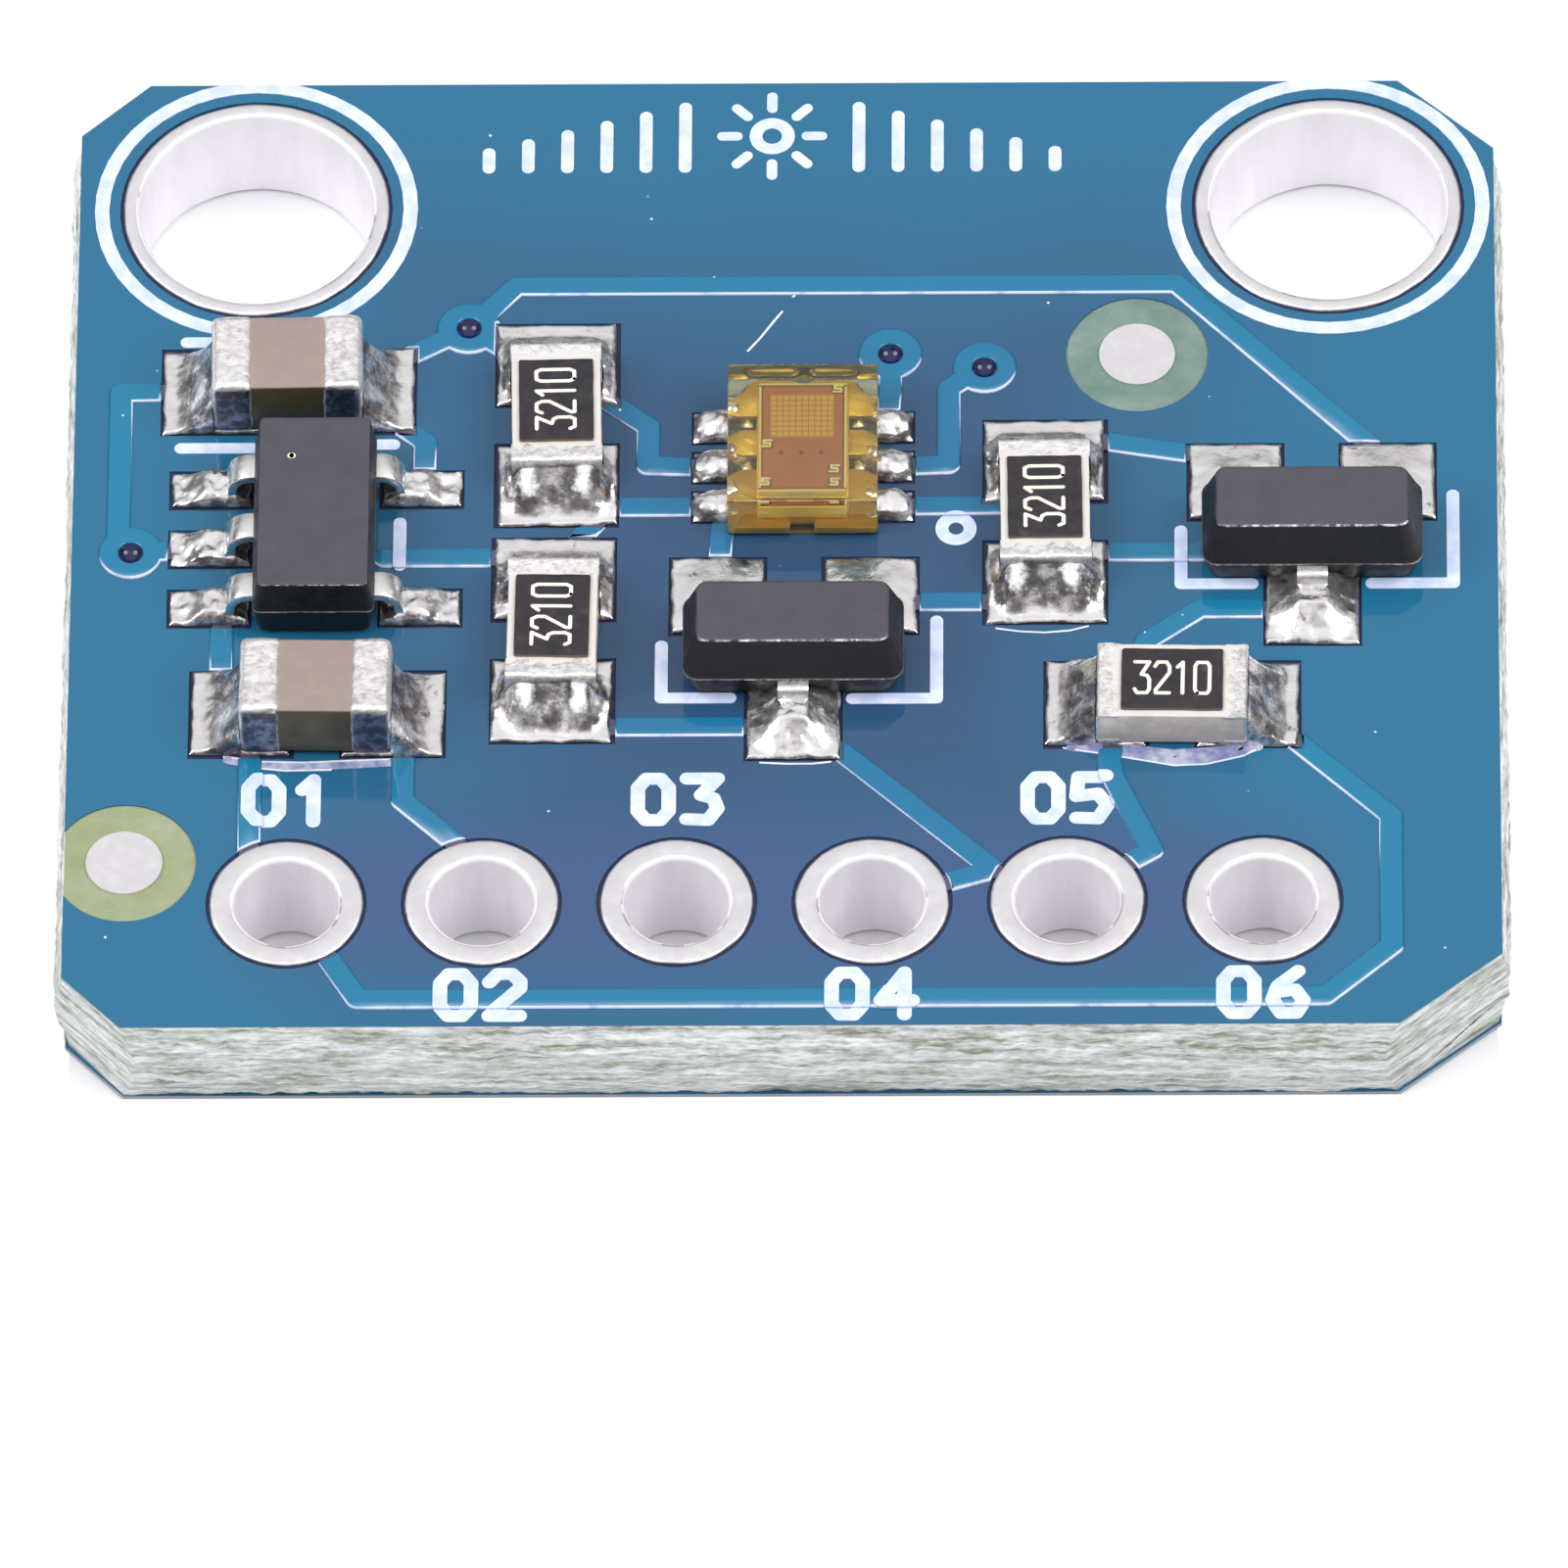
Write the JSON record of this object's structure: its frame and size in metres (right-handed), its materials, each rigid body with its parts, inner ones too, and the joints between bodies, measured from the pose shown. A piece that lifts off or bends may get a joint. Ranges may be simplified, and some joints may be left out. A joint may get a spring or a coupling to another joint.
{
  "type": "light sensor module",
  "caption": "Small rectangular circuit board carrying a clear surface-mounted light sensor, its support components, a row of plated terminal holes and plated mounting holes.",
  "frame": {"origin": "middle of the board's outline on its underside", "axes": "+X along the row of terminal holes, +Y from that row to the mounting holes, +Z out of the component face"},
  "size_m": [0.019, 0.0156, 0.0027],
  "materials": {
    "laminate": "sawn glass-fibre edge",
    "solder_mask": "glossy blue lacquer",
    "copper": "satin copper",
    "legend": "satin white ink",
    "plating": "bright tin",
    "via_copper": "covered copper",
    "overcoat": "glossy black glaze",
    "end_cap": "matt tin",
    "alumina": "white ceramic",
    "dielectric": "brown ceramic",
    "lead_metal": "matt tin",
    "moulding": "fine matt moulding",
    "solder": "bright reflowed solder",
    "lead_frame": "gold plate",
    "die": "polished silicon",
    "clear_resin": "clear amber resin"
  },
  "bodies": {
    "root": {"alignment_dot_left": "plating", "alignment_dot_right": "plating", "barrel_mount_left": "plating", "barrel_mount_right": "plating", "barrel_terminal_1": "plating", "barrel_terminal_2": "plating", "barrel_terminal_3": "plating", "barrel_terminal_4": "plating", "barrel_terminal_5": "plating", "barrel_terminal_6": "plating", "barrel_via_1": "via_copper", "barrel_via_2": "via_copper", "barrel_via_3": "via_copper", "barrel_via_4": "via_copper", "board_laminate": "laminate", "capacitor_body_1": "dielectric", "capacitor_body_2": "dielectric", "capacitor_end_caps_1": "end_cap", "capacitor_end_caps_2": "end_cap", "capacitor_solder_1": "solder", "capacitor_solder_2": "solder", "copper_pour_bottom": "copper", "copper_tracks_top": "copper", "printed_legend": "legend", "regulator_body": "moulding", "regulator_leads": "lead_metal", "regulator_solder": "solder", "resistor_body_1": "alumina", "resistor_body_2": "alumina", "resistor_body_3": "alumina", "resistor_body_4": "alumina", "resistor_end_caps_1": "end_cap", "resistor_end_caps_2": "end_cap", "resistor_end_caps_3": "end_cap", "resistor_end_caps_4": "end_cap", "resistor_overcoat_1": "overcoat", "resistor_overcoat_2": "overcoat", "resistor_overcoat_3": "overcoat", "resistor_overcoat_4": "overcoat", "resistor_solder_1": "solder", "resistor_solder_2": "solder", "resistor_solder_3": "solder", "resistor_solder_4": "solder", "sensor_die": "die", "sensor_lead_frame": "lead_frame", "sensor_package": "clear_resin", "sensor_solder": "solder", "solder_mask_bottom": "solder_mask", "solder_mask_top": "solder_mask", "transistor_body_1": "moulding", "transistor_body_2": "moulding", "transistor_leads_1": "lead_metal", "transistor_leads_2": "lead_metal", "transistor_solder_1": "solder", "transistor_solder_2": "solder"}
  },
  "joints": []
}
